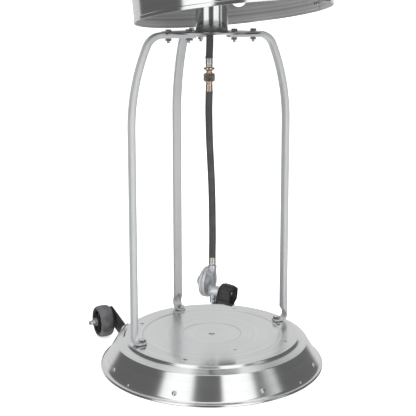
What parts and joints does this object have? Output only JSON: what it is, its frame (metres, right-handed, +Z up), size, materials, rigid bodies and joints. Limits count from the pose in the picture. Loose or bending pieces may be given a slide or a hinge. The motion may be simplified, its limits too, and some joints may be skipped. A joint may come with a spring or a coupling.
{
  "type": "outdoor heater",
  "caption": "Free-standing gas patio heater: round sheet base with rear wheels, bent tube legs, post with lift-up tank cover, hose with regulator, and a burner head under a dished reflector.",
  "frame": {"origin": "on the floor, under the middle of the post, which is the middle of the base and of the reflector", "axes": "+Z up along the post; +Y to the back, where the wheels are; +X to the right leg seen from the front; controls and the open side of the tank bay face -Y"},
  "size_m": [0.813, 0.813, 2.2112],
  "materials": {
    "stainless": "round-brushed stainless sheet, satin with soft mirror reflections",
    "base_sheet": "polished and lightly brushed stainless sheet, lines running round",
    "reflector_sheet": "bright spun aluminium sheet, lines running round",
    "post_tube": "polished stainless tube with streaks along its length",
    "cover_sheet": "bright stainless sheet outside, duller rolled lines inside",
    "leg_paint": "smooth silver-grey powder coat on tube",
    "dark_plate": "dark bright-rolled steel plate",
    "zinc_bolt": "bright zinc-plated fasteners",
    "hose_rubber": "black smooth-skinned rubber hose",
    "fitting_brass": "warm, slightly pink machined brass",
    "crimp_steel": "bright crimped ferrule",
    "casting": "satin grey pressure-die-cast zinc",
    "grip_plastic": "black ribbed moulding with a soft gloss",
    "tyre_rubber": "grey-black rubber tread, dusty matt",
    "hub_plastic": "black moulded hub",
    "bracket_paint": "black painted steel plate",
    "knob_plastic": "black moulded control",
    "burner_steel": "heat-stained stainless",
    "insulator": "white glazed insulator"
  },
  "bodies": {
    "root": {"base_pan": "base_sheet", "post": "post_tube", "post_flange": "dark_plate", "upper_hose": "hose_rubber", "lower_hose": "hose_rubber", "upper_ferrule": "crimp_steel", "lower_ferrule": "crimp_steel", "hose_barb": "fitting_brass", "coupling_nut": "fitting_brass", "coupling_tail": "fitting_brass", "regulator_body": "casting", "regulator_bonnet": "casting", "vent_cap": "casting", "inlet_nipple": "fitting_brass", "control_housing": "stainless", "gas_valve": "fitting_brass", "igniter_body": "knob_plastic", "tilt_switch": "knob_plastic", "burner_pipe": "fitting_brass", "burner": "burner_steel", "emitter_deck": "stainless", "thermocouple": "zinc_bolt", "electrode": "insulator", "emitter_screen": "stainless", "flame_guard": "stainless", "reflector": "reflector_sheet", "leg_right": "leg_paint", "foot_bolt_right": "zinc_bolt", "flange_bolt_right_inner": "zinc_bolt", "flange_bolt_right_outer": "zinc_bolt", "leg_back": "leg_paint", "foot_bolt_back": "zinc_bolt", "flange_bolt_back_inner": "zinc_bolt", "flange_bolt_back_outer": "zinc_bolt", "leg_left": "leg_paint", "foot_bolt_left": "zinc_bolt", "flange_bolt_left_inner": "zinc_bolt", "flange_bolt_left_outer": "zinc_bolt", "wheel_bracket_left": "bracket_paint", "axle_bolt_left": "zinc_bolt", "wheel_bracket_right": "bracket_paint", "axle_bolt_right": "zinc_bolt", "reflector_stud_1": "zinc_bolt", "reflector_stud_2": "zinc_bolt", "reflector_stud_3": "zinc_bolt"},
    "wheel_left": {"wheel_hub_left": "hub_plastic", "wheel_tyre_left": "tyre_rubber"},
    "wheel_right": {"wheel_hub_right": "hub_plastic", "wheel_tyre_right": "tyre_rubber"},
    "hand_nut": {"hand_nut": "grip_plastic"},
    "cover_guide": {"cover_guide": "knob_plastic"},
    "cover": {"cover_back_panel": "cover_sheet", "cover_front_panel": "cover_sheet", "cover_lid": "cover_sheet", "cover_seam_right": "cover_sheet", "cover_seam_left": "cover_sheet"},
    "valve_stem": {"valve_stem": "zinc_bolt"},
    "control_knob": {"control_knob": "knob_plastic"},
    "igniter_button": {"igniter_button": "knob_plastic"}
  },
  "joints": [
    {"name": "wheel_left_spin", "type": "hinge", "parent": "root", "child": "wheel_left", "pos_m": [-0.15546, 0.23204, 0.0354], "axis": [0.9998, 0.0187, 0], "continuous": true},
    {"name": "wheel_right_spin", "type": "hinge", "parent": "root", "child": "wheel_right", "pos_m": [0.14669, 0.23768, 0.0354], "axis": [0.9998, 0.0187, 0], "continuous": true},
    {"name": "hand_nut_spin", "type": "hinge", "parent": "root", "child": "hand_nut", "pos_m": [0.02139, -0.02843, 0.14744], "axis": [0.5846, -0.8046, -0.1045], "continuous": true},
    {"name": "cover_lift", "type": "slide", "parent": "root", "child": "cover_guide", "axis": [0, 0, 1], "range_m": [0, 0.15]},
    {"name": "cover_tilt", "type": "hinge", "parent": "cover_guide", "child": "cover", "pos_m": [-0.0111, 0.0167, 1.3254], "axis": [0.9728, 0.2317, 0], "range_deg": [0, 8.56]},
    {"name": "valve_push", "type": "slide", "parent": "root", "child": "valve_stem", "axis": [0, 1, 0], "range_m": [0, 0.006], "stiffness_N_per_m": 500},
    {"name": "knob_turn", "type": "hinge", "parent": "valve_stem", "child": "control_knob", "pos_m": [0, -0.115, 1.6], "axis": [0, -1, 0], "range_deg": [0, 210]},
    {"name": "igniter_push", "type": "slide", "parent": "root", "child": "igniter_button", "axis": [-0.5592, 0.829, 0], "range_m": [0, 0.005], "stiffness_N_per_m": 600}
  ]
}
